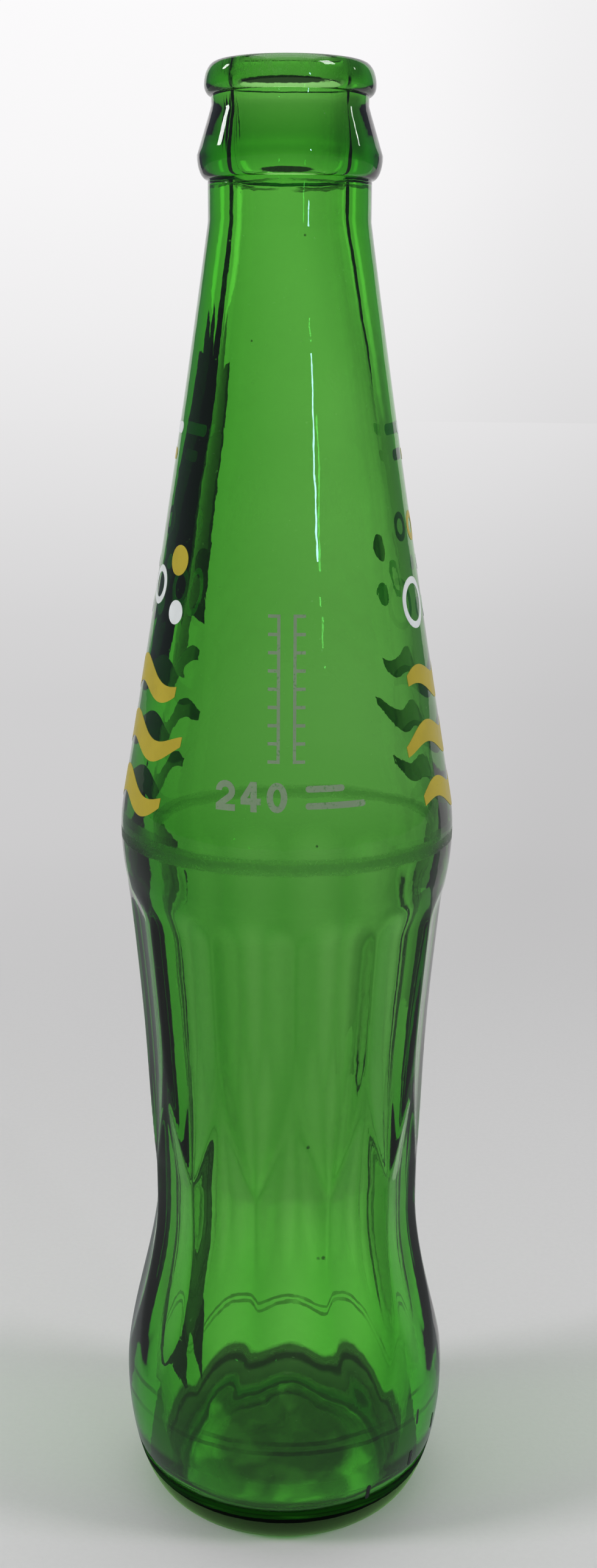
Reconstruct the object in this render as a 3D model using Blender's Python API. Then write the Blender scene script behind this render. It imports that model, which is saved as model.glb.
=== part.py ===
# Returnable soda bottle: one moulded body of green glass with enamel prints
# fired onto it. The bottle stands on the origin, its axis is +Z and its front
# faces -Y. Azimuths run from the front towards +X. All lengths are metres.

import math

import bmesh
import bpy

# Glass body, from the foot up
BOTTLE_HEIGHT = 0.2428
PUSH_UP_HEIGHT = 0.0030
BEARING_INNER_RADIUS = 0.0180
BEARING_OUTER_RADIUS = 0.0208
HEEL_RADIUS = 0.0281
HEEL_HEIGHT = 0.0222
HEEL_POWER_SHARE = 0.57
WAIST_RADIUS = 0.02315
WAIST_HEIGHT = 0.0565
FLUTE_TOP_RADIUS = 0.02695
SHOULDER_RADIUS = 0.0278
SHOULDER_HEIGHT = 0.1226
SHOULDER_DROP = 0.0090
SHOULDER_RISE = 0.0085
CONE_FOOT_RADIUS = 0.0267
NECK_RADIUS = 0.0128

# Crown finish, measured down from the top of the lip
NECK_FOOT_DEPTH = 0.0235
BEAD_FOOT_DEPTH = 0.0173
BEAD_DEPTH = 0.0137
BEAD_RADIUS = 0.01445
GROOVE_DEPTH = 0.0049
GROOVE_RADIUS = 0.0122
GROOVE_LENGTH = 0.0015
RING_DEPTH = 0.0033
RING_RADIUS = 0.0133
LIP_OUTER_RADIUS = 0.0114
LIP_INNER_RADIUS = 0.0096
LIP_ROUND = 0.0009
BORE_RADIUS = 0.0087

# Walls of the hollow
CONE_WALL = 0.0034
SHOULDER_WALL = 0.0038
BODY_WALL = 0.0043
HEEL_WALL = 0.0048
BASE_THICKNESS = 0.0042
FLOOR_RISE = 0.0022
INNER_HEEL_ROUND = 0.0060

# Two tiers of concave flutes that interlock at the waist
FLUTE_COUNT = 12
FLUTE_TURN = math.radians(3.3)
FLUTE_DEPTH = 0.0010
FLUTE_FOOT_RISE = 0.0040
FLUTE_FOOT_ARCH = 0.0200
FLUTE_TOP_ARCH = 0.0060
JUNCTION_RISE = 0.0070
SPLIT_RISE = 0.0365
LOWER_ARCH_RISE = 0.0130
LOWER_TOP_RISE = 0.0205
FLUTE_POWER_SHARE = 2.0
SPLIT_POWER_SHARE = 2.2

# Slopes of the outline, radius over height
FLUTE_TOP_SLOPE_SHARE = 0.11
SHOULDER_SLOPE_SHARE = 0.21
CONE_FOOT_SLOPE_SHARE = -0.172
CONE_TOP_SLOPE_SHARE = -0.141

# Resolution of the turned glass
SIDES = 72
DOME_STEPS = 3
HEEL_STEPS = 5
TAPER_STEPS = 7
FLUTE_STEPS = 13
CONE_STEPS = 6
ROUND_STEPS = 3
WALL_STEPS = 13
SHARP_ANGLE = math.radians(40.0)

# Enamel prints
ENAMEL_GAP = 0.0003
ENAMEL_THICKNESS = 0.0002
CUT_PITCH = 0.0040

# Capacity numerals on the front. Rises are shares of the cone's height.
NUMERAL_RISE_SHARE = 0.083
NUMERAL_HEIGHT = 0.0046
NUMERAL_WIDTH = 0.0032
NUMERAL_STROKE = 0.0010
NUMERAL_PITCH = 0.0041
NUMERAL_START = -0.0112
TWO_SWEEP_SHARE = 1.25
TWO_SLANT_SHARE = 1.6
FOUR_STEM_SHARE = 0.80
FOUR_BAR_SHARE = 0.24
FOUR_HOLE_SHARES = (1.1, 1.7)
LEVEL_BAR_START = 0.0030
LEVEL_BAR_LENGTHS = (0.0062, 0.0098)
LEVEL_BAR_SPACING = 0.0026

# Upright graduated scales above the numerals
SCALE_CLEARANCE = 0.0029
SCALE_HEIGHT_SHARE = 0.233
SCALE_OFFSET = 0.0010
SCALE_LINE = 0.0005
SCALE_TICK = 0.0019
SCALE_TICKS = 9

# Side prints: wave bands below, bubbles and dashes above them
PRINT_TURN = math.radians(3.5)
PRINT_AZIMUTH = math.radians(90.0)
WAVE_RISE_SHARE = 0.075
WAVE_SPACING_SHARE = 0.095
WAVE_THICKNESS = 0.0046
WAVE_SWING = 0.0015
WAVE_LENGTHS = (0.0360, 0.0400, 0.0330)
WAVE_PERIOD = 0.0180
WAVE_END_SHARE = 0.04
WAVE_STEPS = 20
BUBBLE_SPREAD = 0.0200
BUBBLE_RADIUS = 0.0041
BUBBLE_WALL = 0.0011
BUBBLE_RISE_SHARE = 0.385
BUBBLE_SIDES = 18
DISC_SIDES = 12
DASH_RISE_SHARE = 0.675
DASH_SPACING_SHARE = 0.043
DASH_WIDTH = 0.0018
DASH_LENGTHS = (0.0092, 0.0056)

# Ink dashes on the heel
INK_AZIMUTHS = tuple(math.radians(angle) for angle in (33.0, 54.0, 71.0))
INK_HEIGHTS = (0.0095, 0.0120, 0.0150)
INK_LENGTH = 0.0030
INK_WIDTH = 0.0008
INK_THICKNESS = 0.0002

FLUTE_TOP_HEIGHT = SHOULDER_HEIGHT - SHOULDER_DROP
CONE_FOOT_HEIGHT = SHOULDER_HEIGHT + SHOULDER_RISE
NECK_FOOT_HEIGHT = BOTTLE_HEIGHT - NECK_FOOT_DEPTH
CONE_HEIGHT = NECK_FOOT_HEIGHT - SHOULDER_HEIGHT


def clear_scene():
    for item in list(bpy.data.objects):
        bpy.data.objects.remove(item, do_unlink=True)


def hermite(share, start, end, start_slope, end_slope, span):
    """Cubic from start to end with the given slopes over a span."""
    square, cube = share ** 2, share ** 3
    return (
        (2 * cube - 3 * square + 1) * start
        + (3 * square - 2 * cube) * end
        + (cube - 2 * square + share) * start_slope * span
        + (cube - square) * end_slope * span
    )


def outline_radius(height):
    """Outer radius on the ridges, from the foot up to the neck."""
    if height <= HEEL_HEIGHT:
        share = max(0.0, height / HEEL_HEIGHT)
        bulge = (1 - (1 - share) ** 2) ** HEEL_POWER_SHARE
        return BEARING_OUTER_RADIUS + (HEEL_RADIUS - BEARING_OUTER_RADIUS) * bulge
    knots = (
        (HEEL_HEIGHT, HEEL_RADIUS, 0, 0),
        (WAIST_HEIGHT, WAIST_RADIUS, 0, 0),
        (FLUTE_TOP_HEIGHT, FLUTE_TOP_RADIUS, FLUTE_TOP_SLOPE_SHARE, SHOULDER_SLOPE_SHARE),
        (SHOULDER_HEIGHT, SHOULDER_RADIUS, 0, 0),
        (CONE_FOOT_HEIGHT, CONE_FOOT_RADIUS, CONE_FOOT_SLOPE_SHARE, CONE_FOOT_SLOPE_SHARE),
        (NECK_FOOT_HEIGHT, NECK_RADIUS, CONE_TOP_SLOPE_SHARE, 0),
    )
    for low, high in zip(knots, knots[1:]):
        if height <= high[0]:
            span = high[0] - low[0]
            return hermite((height - low[0]) / span, low[1], high[1], low[3], high[2], span)
    return NECK_RADIUS


def wall_thickness(height):
    """Thickness of the glass under the ridges at a height."""
    walls = (
        (HEEL_HEIGHT, HEEL_WALL),
        (WAIST_HEIGHT, BODY_WALL),
        (FLUTE_TOP_HEIGHT, BODY_WALL),
        (SHOULDER_HEIGHT, SHOULDER_WALL),
        (CONE_FOOT_HEIGHT, CONE_WALL),
        (NECK_FOOT_HEIGHT, NECK_RADIUS - BORE_RADIUS),
    )
    if height <= walls[0][0]:
        return walls[0][1]
    for low, high in zip(walls, walls[1:]):
        if height <= high[0]:
            share = (height - low[0]) / (high[0] - low[0])
            return low[1] + (high[1] - low[1]) * share
    return walls[-1][1]


def flute_depth(height, azimuth):
    """How far the flutes sink below the ridges at a place."""
    foot = HEEL_HEIGHT + FLUTE_FOOT_RISE
    if not foot < height < FLUTE_TOP_HEIGHT:
        return 0.0
    junction = WAIST_HEIGHT + JUNCTION_RISE
    split = WAIST_HEIGHT + SPLIT_RISE
    climb = min(1.0, max(0.0, (height - junction) / (split - junction)))
    upper = 1 - (1 - climb) ** SPLIT_POWER_SHARE
    lower = 1 - upper
    half_pitch = math.pi / FLUTE_COUNT
    turn = (azimuth - FLUTE_TURN) % (2 * half_pitch)
    from_ridge = min(turn, 2 * half_pitch - turn) / half_pitch
    if from_ridge > lower:
        width, place = upper, (1 - from_ridge) / upper
        end = (height - FLUTE_TOP_HEIGHT + FLUTE_TOP_ARCH) / FLUTE_TOP_ARCH
    elif lower > 0:
        width, place = lower, from_ridge / lower
        arch = WAIST_HEIGHT + LOWER_ARCH_RISE
        end = max(
            (foot + FLUTE_FOOT_ARCH - height) / FLUTE_FOOT_ARCH,
            (height - arch) / (LOWER_TOP_RISE - LOWER_ARCH_RISE),
        )
    else:
        return 0.0
    if end >= 1:
        return 0.0
    narrowing = 1 - max(0.0, end) ** 2
    place = place / math.sqrt(narrowing)
    return FLUTE_DEPTH * width * narrowing * (1 - min(1.0, place) ** FLUTE_POWER_SHARE)


def outer_levels():
    """Radius and height of each ring on the outside, from the centre of the foot."""
    levels = []
    for step in range(1, DOME_STEPS + 1):
        share = step / DOME_STEPS
        levels.append((BEARING_INNER_RADIUS * share, PUSH_UP_HEIGHT * (1 - share ** 2)))
    for step in range(HEEL_STEPS):
        height = HEEL_HEIGHT * (step / HEEL_STEPS) ** 2
        levels.append((outline_radius(height), height))
    body = (
        (HEEL_HEIGHT, WAIST_HEIGHT, TAPER_STEPS),
        (WAIST_HEIGHT, FLUTE_TOP_HEIGHT, FLUTE_STEPS),
        (FLUTE_TOP_HEIGHT, SHOULDER_HEIGHT, ROUND_STEPS),
        (SHOULDER_HEIGHT, CONE_FOOT_HEIGHT, ROUND_STEPS),
        (CONE_FOOT_HEIGHT, NECK_FOOT_HEIGHT, CONE_STEPS),
    )
    for low, high, steps in body:
        for step in range(steps):
            height = low + (high - low) * step / steps
            levels.append((outline_radius(height), height))
    levels.append((NECK_RADIUS, NECK_FOOT_HEIGHT))
    levels.append((NECK_RADIUS, BOTTLE_HEIGHT - BEAD_FOOT_DEPTH))
    levels += arc(
        (NECK_RADIUS, BEAD_FOOT_DEPTH), (BEAD_RADIUS, BEAD_DEPTH), ROUND_STEPS, outward=True
    )
    levels.append((GROOVE_RADIUS, BOTTLE_HEIGHT - GROOVE_DEPTH - GROOVE_LENGTH))
    levels.append((GROOVE_RADIUS, BOTTLE_HEIGHT - GROOVE_DEPTH))
    levels += arc((GROOVE_RADIUS, GROOVE_DEPTH), (RING_RADIUS, RING_DEPTH), 2, outward=True)
    levels += arc((RING_RADIUS, RING_DEPTH), (LIP_OUTER_RADIUS, 0), ROUND_STEPS, outward=False)
    return levels


def arc(start, end, steps, outward):
    """Quarter round between two (radius, depth) corners, without its first point."""
    points = []
    for step in range(1, steps + 1):
        angle = math.pi / 2 * step / steps
        across = math.sin(angle) if outward else 1 - math.cos(angle)
        along = 1 - math.cos(angle) if outward else math.sin(angle)
        radius = start[0] + (end[0] - start[0]) * across
        depth = start[1] + (end[1] - start[1]) * along
        points.append((radius, BOTTLE_HEIGHT - depth))
    return points


def inner_levels():
    """Radius and height of each ring of the hollow, from the lip down to the floor."""
    levels = [
        (LIP_INNER_RADIUS, BOTTLE_HEIGHT),
        (BORE_RADIUS, BOTTLE_HEIGHT - LIP_ROUND),
        (BORE_RADIUS, NECK_FOOT_HEIGHT),
    ]
    floor_top = BASE_THICKNESS + INNER_HEEL_ROUND
    for step in range(1, WALL_STEPS + 1):
        height = NECK_FOOT_HEIGHT + (floor_top - NECK_FOOT_HEIGHT) * step / WALL_STEPS
        levels.append((outline_radius(height) - wall_thickness(height), height))
    side = levels[-1][0]
    for step in range(1, ROUND_STEPS + 1):
        angle = math.pi / 2 * step / ROUND_STEPS
        radius = side - INNER_HEEL_ROUND * (1 - math.cos(angle))
        levels.append((radius, floor_top - INNER_HEEL_ROUND * math.sin(angle)))
    return levels


def ring_of_points(mesh, radius, height, fluted):
    points = []
    for side in range(SIDES):
        azimuth = FLUTE_TURN + 2 * math.pi * side / SIDES
        reach = radius - (flute_depth(height, azimuth) if fluted else 0.0)
        points.append(mesh.verts.new((reach * math.sin(azimuth), -reach * math.cos(azimuth), height)))
    return points


def make_glass_body():
    mesh = bmesh.new()
    rings = [ring_of_points(mesh, radius, height, True) for radius, height in outer_levels()]
    rings += [ring_of_points(mesh, radius, height, False) for radius, height in inner_levels()]
    for low, high in zip(rings, rings[1:]):
        for side in range(SIDES):
            after = (side + 1) % SIDES
            mesh.faces.new((low[side], low[after], high[after], high[side]))
    foot_centre = mesh.verts.new((0, 0, PUSH_UP_HEIGHT))
    floor_centre = mesh.verts.new((0, 0, BASE_THICKNESS + FLOOR_RISE))
    for centre, ring in ((foot_centre, rings[0]), (floor_centre, rings[-1])):
        for side in range(SIDES):
            mesh.faces.new((centre, ring[side], ring[(side + 1) % SIDES]))
    bmesh.ops.recalc_face_normals(mesh, faces=mesh.faces)
    return add_object("glass_body", mesh, GLASS_GREEN)


def add_object(name, mesh, look):
    data = bpy.data.meshes.new(name)
    mesh.to_mesh(data)
    mesh.free()
    data.shade_smooth()
    data.set_sharp_from_angle(angle=SHARP_ANGLE)
    item = bpy.data.objects.new(name, data)
    bpy.context.scene.collection.objects.link(item)
    data.materials.append(make_material(name + "_finish", *look))
    return item


def make_material(name, colour, roughness, transmission):
    material = bpy.data.materials.new(name)
    material.use_nodes = True
    shader = material.node_tree.nodes["Principled BSDF"]
    shader.inputs["Base Color"].default_value = (*colour, 1.0)
    shader.inputs["Roughness"].default_value = roughness
    shader.inputs["Metallic"].default_value = 0.0
    shader.inputs["Transmission Weight"].default_value = transmission
    return material


# Looks: colour, roughness and transmission
GLASS_GREEN = ((0.07, 0.32, 0.03), 0.05, 0.9)
YELLOW_ENAMEL = ((0.72, 0.45, 0.03), 0.35, 0.0)
WHITE_ENAMEL = ((0.78, 0.80, 0.78), 0.35, 0.0)
WORN_ENAMEL = ((0.36, 0.42, 0.33), 0.55, 0.0)
BLACK_INK = ((0.02, 0.02, 0.02), 0.60, 0.0)


def print_on_glass(name, loops, azimuth, height, look, thickness=ENAMEL_THICKNESS):
    """Lay a flat outline, with any holes after it, around the glass as a thin body."""
    mesh = bmesh.new()
    edges = []
    for loop in loops:
        corners = [mesh.verts.new((across, 0, rise)) for across, rise in loop]
        edges += [
            mesh.edges.new((corner, corners[(place + 1) % len(corners)]))
            for place, corner in enumerate(corners)
        ]
    bmesh.ops.triangle_fill(mesh, use_beauty=True, edges=edges)
    reach = max(abs(across) for across, rise in loops[0])
    cut = -CUT_PITCH * int(reach / CUT_PITCH)
    while cut <= reach:
        parts = mesh.verts[:] + mesh.edges[:] + mesh.faces[:]
        bmesh.ops.bisect_plane(mesh, geom=parts, plane_co=(cut, 0, 0), plane_no=(1, 0, 0))
        cut += CUT_PITCH
    inside = mesh.verts[:]
    raised = bmesh.ops.extrude_face_region(mesh, geom=mesh.faces[:], use_keep_orig=True)
    outside = [part for part in raised["geom"] if isinstance(part, bmesh.types.BMVert)]
    for corners, lift in ((inside, ENAMEL_GAP), (outside, ENAMEL_GAP + thickness)):
        for corner in corners:
            rise = height + corner.co.z
            radius = outline_radius(rise)
            turn = azimuth + corner.co.x / radius
            reach = radius + lift
            corner.co = (reach * math.sin(turn), -reach * math.cos(turn), rise)
    bmesh.ops.recalc_face_normals(mesh, faces=mesh.faces)
    return add_object(name, mesh, look)


def disc_loop(radius, sides):
    turns = [2 * math.pi * side / sides for side in range(sides)]
    return [(radius * math.cos(turn), radius * math.sin(turn)) for turn in turns]


def bar_loop(length, width, start=0.0):
    """Bar with rounded ends, centred on a place across."""
    round_end = width / 2
    straight = length / 2 - round_end
    loop = []
    for end in (1, -1):
        for step in range(ROUND_STEPS + 1):
            turn = math.pi * (step / ROUND_STEPS - 1 / 2)
            across = end * (straight + round_end * math.cos(turn))
            loop.append((start + across, end * round_end * math.sin(turn)))
    return loop


def wave_loop(length):
    """Band that swings up and down along its length and narrows at both ends."""
    upper, lower = [], []
    for step in range(WAVE_STEPS + 1):
        share = step / WAVE_STEPS
        across = length * (share - 1 / 2)
        swing = WAVE_SWING * math.sin(2 * math.pi * across / WAVE_PERIOD)
        along = WAVE_END_SHARE + (1 - 2 * WAVE_END_SHARE) * share
        half = WAVE_THICKNESS / 2 * math.sqrt(math.sin(math.pi * along))
        upper.append((across, swing + half))
        lower.append((across, swing - half))
    return upper + lower[::-1]


def numeral_two():
    width, height, stroke = NUMERAL_WIDTH, NUMERAL_HEIGHT, NUMERAL_STROKE
    bow = width / 2
    outer, inner = [], []
    for step in range(ROUND_STEPS * 2 + 1):
        turn = math.pi * (1 - TWO_SWEEP_SHARE * step / (ROUND_STEPS * 2))
        for loop, radius in ((outer, bow), (inner, bow - stroke)):
            loop.append((bow + radius * math.cos(turn), height - bow + radius * math.sin(turn)))
    slant = stroke * TWO_SLANT_SHARE
    loop = outer + [(slant, stroke), (width, stroke), (width, 0), (0, 0), (0, stroke)]
    return [loop + inner[::-1]]


def numeral_four():
    width, height, stroke = NUMERAL_WIDTH, NUMERAL_HEIGHT, NUMERAL_STROKE
    stem, bar = width * FOUR_STEM_SHARE, height * FOUR_BAR_SHARE
    side_share, top_share = FOUR_HOLE_SHARES
    outer = [
        (stem - stroke, 0), (stem, 0), (stem, bar), (width, bar), (width, bar + stroke),
        (stem, bar + stroke), (stem, height), (stem - stroke, height), (0, bar + stroke), (0, bar),
        (stem - stroke, bar),
    ]
    hole = [
        (stroke * side_share, bar + stroke), (stem - stroke, bar + stroke),
        (stem - stroke, height - stroke * top_share),
    ]
    return [outer, hole]


def numeral_zero():
    width, height, stroke = NUMERAL_WIDTH / 2, NUMERAL_HEIGHT / 2, NUMERAL_STROKE
    loops = []
    for inset in (0, stroke):
        loops.append([
            (width + (width - inset) * across, height + (height - inset) * rise)
            for across, rise in disc_loop(1, BUBBLE_SIDES)
        ])
    return loops


def scale_loop(side):
    """Upright graduated line with ticks to one side."""
    height = CONE_HEIGHT * SCALE_HEIGHT_SHARE
    loop = [(0, 0), (0, height), (side * SCALE_TICK, height)]
    pitch = (height - SCALE_LINE) / (SCALE_TICKS - 1)
    for tick in range(SCALE_TICKS - 1, -1, -1):
        low = pitch * tick
        loop.append((side * SCALE_TICK, low))
        if tick:
            loop += [(side * SCALE_LINE, low), (side * SCALE_LINE, low - pitch + SCALE_LINE)]
            loop.append((side * SCALE_TICK, low - pitch + SCALE_LINE))
    return loop


def make_front_prints():
    height = SHOULDER_HEIGHT + CONE_HEIGHT * NUMERAL_RISE_SHARE
    numerals = (("numeral_two", numeral_two), ("numeral_four", numeral_four),
                ("numeral_zero", numeral_zero))
    for place, (name, shape) in enumerate(numerals):
        start = NUMERAL_START + NUMERAL_PITCH * place
        loops = [[(across + start, rise) for across, rise in loop] for loop in shape()]
        print_on_glass(name, loops, 0.0, height, WORN_ENAMEL)
    middle = height + NUMERAL_HEIGHT / 2
    bars = (("level_bar_upper", 1), ("level_bar_lower", -1))
    for (name, side), length in zip(bars, LEVEL_BAR_LENGTHS):
        bar = bar_loop(length, NUMERAL_STROKE, LEVEL_BAR_START + length / 2)
        print_on_glass(name, [bar], 0.0, middle + side * LEVEL_BAR_SPACING / 2, WORN_ENAMEL)
    scale_height = height + NUMERAL_HEIGHT + SCALE_CLEARANCE
    for name, side in (("scale_left", -1), ("scale_right", 1)):
        loop = [(across + side * SCALE_OFFSET, rise) for across, rise in scale_loop(side)]
        print_on_glass(name, [loop], 0.0, scale_height, WORN_ENAMEL)


# Bubbles of a side print: place across and rise as shares of the spread and of the
# cone's height, radius as a share of the largest, whether it is a ring, and enamel
BUBBLE_SHARES = (
    ("ring_large", -0.49, 0.010, 1.00, True, WHITE_ENAMEL),
    ("ring_small", 0.26, 0.035, 0.76, True, WHITE_ENAMEL),
    ("disc_low", -0.11, -0.006, 0.42, False, WHITE_ENAMEL),
    ("disc_side", 0.63, -0.002, 0.46, False, WHITE_ENAMEL),
    ("disc_high", -0.08, 0.068, 0.30, False, WHITE_ENAMEL),
    ("disc_gold", 0.56, 0.081, 0.58, False, YELLOW_ENAMEL),
    ("ring_gold", -0.25, 0.132, 0.58, True, YELLOW_ENAMEL),
)


def make_side_print(side_name, side):
    azimuth = side * PRINT_AZIMUTH + PRINT_TURN
    for place, length in enumerate(WAVE_LENGTHS):
        rise = CONE_HEIGHT * (WAVE_RISE_SHARE + WAVE_SPACING_SHARE * place)
        name = f"wave_{place + 1}_{side_name}"
        print_on_glass(name, [wave_loop(length)], azimuth, SHOULDER_HEIGHT + rise, YELLOW_ENAMEL)
    for kind, across_share, rise_share, radius_share, hollow, look in BUBBLE_SHARES:
        height = SHOULDER_HEIGHT + CONE_HEIGHT * (BUBBLE_RISE_SHARE + rise_share)
        radius = BUBBLE_RADIUS * radius_share
        loops = [disc_loop(radius, BUBBLE_SIDES if hollow else DISC_SIDES)]
        if hollow:
            loops.append(disc_loop(radius - BUBBLE_WALL, BUBBLE_SIDES))
        turn = azimuth + BUBBLE_SPREAD * across_share / outline_radius(height)
        print_on_glass(f"{kind}_{side_name}", loops, turn, height, look)
    looks = (WHITE_ENAMEL, YELLOW_ENAMEL)
    for place, (length, look) in enumerate(zip(DASH_LENGTHS, looks)):
        rise = CONE_HEIGHT * (DASH_RISE_SHARE - DASH_SPACING_SHARE * place)
        name = f"dash_{place + 1}_{side_name}"
        print_on_glass(name, [bar_loop(length, DASH_WIDTH)], azimuth, SHOULDER_HEIGHT + rise, look)


def make_ink_marks():
    for place, (azimuth, height) in enumerate(zip(INK_AZIMUTHS, INK_HEIGHTS)):
        bar = [(rise, across) for across, rise in bar_loop(INK_LENGTH, INK_WIDTH)]
        print_on_glass(f"ink_dash_{place + 1}", [bar], azimuth, height, BLACK_INK, INK_THICKNESS)


clear_scene()
make_glass_body()
make_front_prints()
make_side_print("left", -1)
make_side_print("right", 1)
make_ink_marks()
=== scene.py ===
# Green returnable soda bottle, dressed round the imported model.
# Metres, +Z up. The front faces -Y, and azimuths run from the front towards +X.
import math

import bmesh
import bpy
import numpy as np
from mathutils import Matrix, Vector, noise


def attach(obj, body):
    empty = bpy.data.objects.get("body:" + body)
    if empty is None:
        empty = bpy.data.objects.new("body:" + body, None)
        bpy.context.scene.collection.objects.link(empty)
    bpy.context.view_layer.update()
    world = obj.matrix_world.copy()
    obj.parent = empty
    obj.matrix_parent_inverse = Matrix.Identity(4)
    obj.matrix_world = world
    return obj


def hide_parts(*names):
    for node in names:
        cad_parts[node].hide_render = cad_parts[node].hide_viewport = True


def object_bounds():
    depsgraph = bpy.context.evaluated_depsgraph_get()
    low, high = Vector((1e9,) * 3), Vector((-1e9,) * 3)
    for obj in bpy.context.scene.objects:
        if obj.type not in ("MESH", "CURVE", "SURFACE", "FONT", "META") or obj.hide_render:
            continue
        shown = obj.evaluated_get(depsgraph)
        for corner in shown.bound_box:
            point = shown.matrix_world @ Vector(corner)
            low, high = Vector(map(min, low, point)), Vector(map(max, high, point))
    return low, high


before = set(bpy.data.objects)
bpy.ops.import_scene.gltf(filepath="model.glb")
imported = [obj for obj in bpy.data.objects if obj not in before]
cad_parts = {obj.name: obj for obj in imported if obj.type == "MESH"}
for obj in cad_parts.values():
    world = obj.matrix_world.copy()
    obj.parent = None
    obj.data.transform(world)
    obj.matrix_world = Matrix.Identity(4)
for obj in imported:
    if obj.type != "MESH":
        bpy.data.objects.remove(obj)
cadLow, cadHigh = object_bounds()
print("frame loaded, bottle is", round(cadHigh.z * 1000, 1), "mm high")


# camera

cameraView = {
    "distance": 0.308,  # level distance from the bottle's axis
    "height": 0.2033,
    "sideStep": 0.0019,
    "pitchDown": 13.6, "roll": 0.34,
    "focalPixels": 3100.0, "framePixels": (980, 2576),
    "filmSize": 36.0, "nearClip": 0.01,
}


def makeCamera():
    data = bpy.data.cameras.new("camera")
    data.sensor_width = cameraView["filmSize"]
    data.lens = cameraView["filmSize"] * cameraView["focalPixels"] / max(cameraView["framePixels"])
    data.clip_start = cameraView["nearClip"]
    camera = bpy.data.objects.new("camera", data)
    bpy.context.scene.collection.objects.link(camera)
    spot = (cameraView["sideStep"], -cameraView["distance"], cameraView["height"])
    tilt = Matrix.Rotation(math.radians(90 - cameraView["pitchDown"]), 4, "X")
    roll = Matrix.Rotation(math.radians(cameraView["roll"]), 4, "Z")
    camera.matrix_world = Matrix.Translation(spot) @ tilt @ roll
    bpy.context.scene.camera = camera


makeCamera()
print("camera placed")


# node helpers

def newMaterial(name):
    material = bpy.data.materials.new(name)
    material.use_nodes = True
    material.node_tree.nodes.clear()
    return material, material.node_tree


def addNode(tree, kind, inputs=None, **settings):
    node = tree.nodes.new(kind)
    for key, value in settings.items():
        setattr(node, key, value)
    for key, value in (inputs or {}).items():
        if isinstance(value, bpy.types.NodeSocket):
            tree.links.new(value, node.inputs[key])
        else:
            node.inputs[key].default_value = value
    return node


def calc(tree, operation, first, *others, clamp=False):
    for other in others or (None,):  # further values go through the same operation
        node = tree.nodes.new("ShaderNodeMath")
        node.operation = operation
        node.use_clamp = clamp
        for place, value in enumerate((first, other)):
            if isinstance(value, bpy.types.NodeSocket):
                tree.links.new(value, node.inputs[place])
            elif value is not None:
                node.inputs[place].default_value = value
        first = node.outputs[0]
    return first


def ramp(tree, value, low, high, toLow=0.0, toHigh=1.0, smooth=True):
    node = addNode(tree, "ShaderNodeMapRange", {
        "Value": value, "From Min": low, "From Max": high, "To Min": toLow, "To Max": toHigh,
    }, interpolation_type="SMOOTHSTEP" if smooth else "LINEAR", clamp=True)
    return node.outputs["Result"]


def blendColor(tree, share, first, second):
    node = tree.nodes.new("ShaderNodeMix")
    node.data_type = "RGBA"
    for key, value in (("Factor", share), ("A", first), ("B", second)):
        socket = next(s for s in node.inputs if s.name == key and s.enabled)
        if isinstance(value, bpy.types.NodeSocket):
            tree.links.new(value, socket)
        else:
            socket.default_value = (*value[:3], 1.0)
    return next(s for s in node.outputs if s.enabled)


def mixShaders(tree, share, first, second):
    return addNode(tree, "ShaderNodeMixShader", {
        0: share, 1: first.outputs[0], 2: second.outputs[0],
    })


def addGlow(tree, color, strength=1.0):
    return addNode(tree, "ShaderNodeEmission", {"Color": (*color, 1.0), "Strength": strength})


def addBump(tree, height, strength=1.0, distance=1.0):
    return addNode(tree, "ShaderNodeBump", {
        "Strength": strength, "Distance": distance, "Height": height,
    }).outputs[0]


def finishMaterial(tree, surface):
    return addNode(tree, "ShaderNodeOutputMaterial", {"Surface": surface.outputs[0]})


def placeOn(tree, kind="Object"):
    return addNode(tree, "ShaderNodeTexCoord").outputs[kind]


def partOf(tree, place, axis):
    return addNode(tree, "ShaderNodeSeparateXYZ", {"Vector": place}).outputs[axis]


def lengthOf(tree, place):
    return addNode(tree, "ShaderNodeVectorMath", {0: place}, operation="LENGTH").outputs["Value"]


def stretched(tree, place, scale):
    return addNode(tree, "ShaderNodeMapping", {"Vector": place, "Scale": scale}).outputs["Vector"]


def noiseMap(tree, place, scale, detail, roughness, distortion=0.0):
    node = addNode(tree, "ShaderNodeTexNoise", {
        "Vector": place, "Scale": scale, "Detail": detail, "Roughness": roughness,
        "Distortion": distortion,
    })
    return node.outputs["Fac"]


def patches(tree, place, sizes, span):
    return ramp(tree, noiseMap(tree, place, *sizes), *span)


def wander(tree, place, sizes, reach):
    return calc(tree, "MULTIPLY", calc(tree, "SUBTRACT", noiseMap(tree, place, *sizes), 0.5), reach)


# mesh helpers

def linkShape(name, shape, material):
    data = bpy.data.meshes.new(name)
    shape.to_mesh(data)
    shape.free()
    data.materials.append(material)
    item = bpy.data.objects.new(name, data)
    bpy.context.scene.collection.objects.link(item)
    return item


def smoothShape(item, angle):
    item.data.shade_smooth()
    item.data.set_sharp_from_angle(angle=math.radians(angle))


def heldShare(value):
    return max(0.0, min(1.0, value))


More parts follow.
